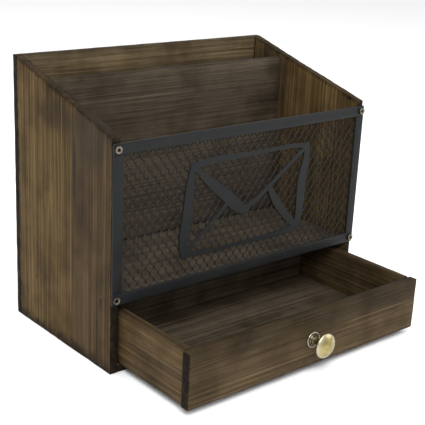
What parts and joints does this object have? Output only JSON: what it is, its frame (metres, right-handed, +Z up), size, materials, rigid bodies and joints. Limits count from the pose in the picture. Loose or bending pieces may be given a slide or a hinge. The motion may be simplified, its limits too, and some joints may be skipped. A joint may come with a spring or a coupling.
{
  "type": "desk organizer",
  "caption": "Dark wooden desk organizer with upright mail slots, a sloping top, a black steel mesh front carrying an envelope plate, and a pull-out drawer with a brass knob.",
  "frame": {"origin": "bottom centre of the carcass footprint, on the surface it stands on", "axes": "+Z up; the mesh front and the drawer face -Y; +X to the right when facing the front"},
  "size_m": [0.3, 0.28, 0.256],
  "materials": {
    "panel_wood": "dark brown stained board with scorched edges, satin",
    "drawer_wood": "dark brown stained board, lighter streaks along the grain, satin",
    "tray_wood": "thin dark stained board, matte",
    "black_steel": "black powder coat, fine texture",
    "aged_nickel": "aged nickel, worn",
    "dark_nail": "dull dark wire",
    "antique_brass": "antique brass, darker in the grooves, brighter on the rim",
    "zinc_steel": "bright zinc"
  },
  "bodies": {
    "carcass": {"left_side_panel": "panel_wood", "right_side_panel": "panel_wood", "back_panel": "panel_wood", "base_panel": "panel_wood", "mail_shelf": "panel_wood", "divider_panel": "panel_wood", "frame_top_bar": "black_steel", "frame_bottom_bar": "black_steel", "frame_left_bar": "black_steel", "frame_right_bar": "black_steel", "mesh_screen": "black_steel", "envelope_sign": "black_steel", "frame_screws": "aged_nickel", "side_brads": "dark_nail", "back_brads": "dark_nail"},
    "drawer": {"drawer_front": "drawer_wood", "drawer_left_side": "drawer_wood", "drawer_right_side": "drawer_wood", "drawer_back": "drawer_wood", "drawer_bottom": "tray_wood", "drawer_brads": "dark_nail", "knob_rosette": "antique_brass", "knob": "antique_brass", "knob_washer": "zinc_steel", "knob_screw": "zinc_steel"}
  },
  "joints": [
    {"name": "drawer_slide", "type": "slide", "parent": "carcass", "child": "drawer", "axis": [0, -1, 0], "range_m": [-0.097, 0.033]}
  ]
}
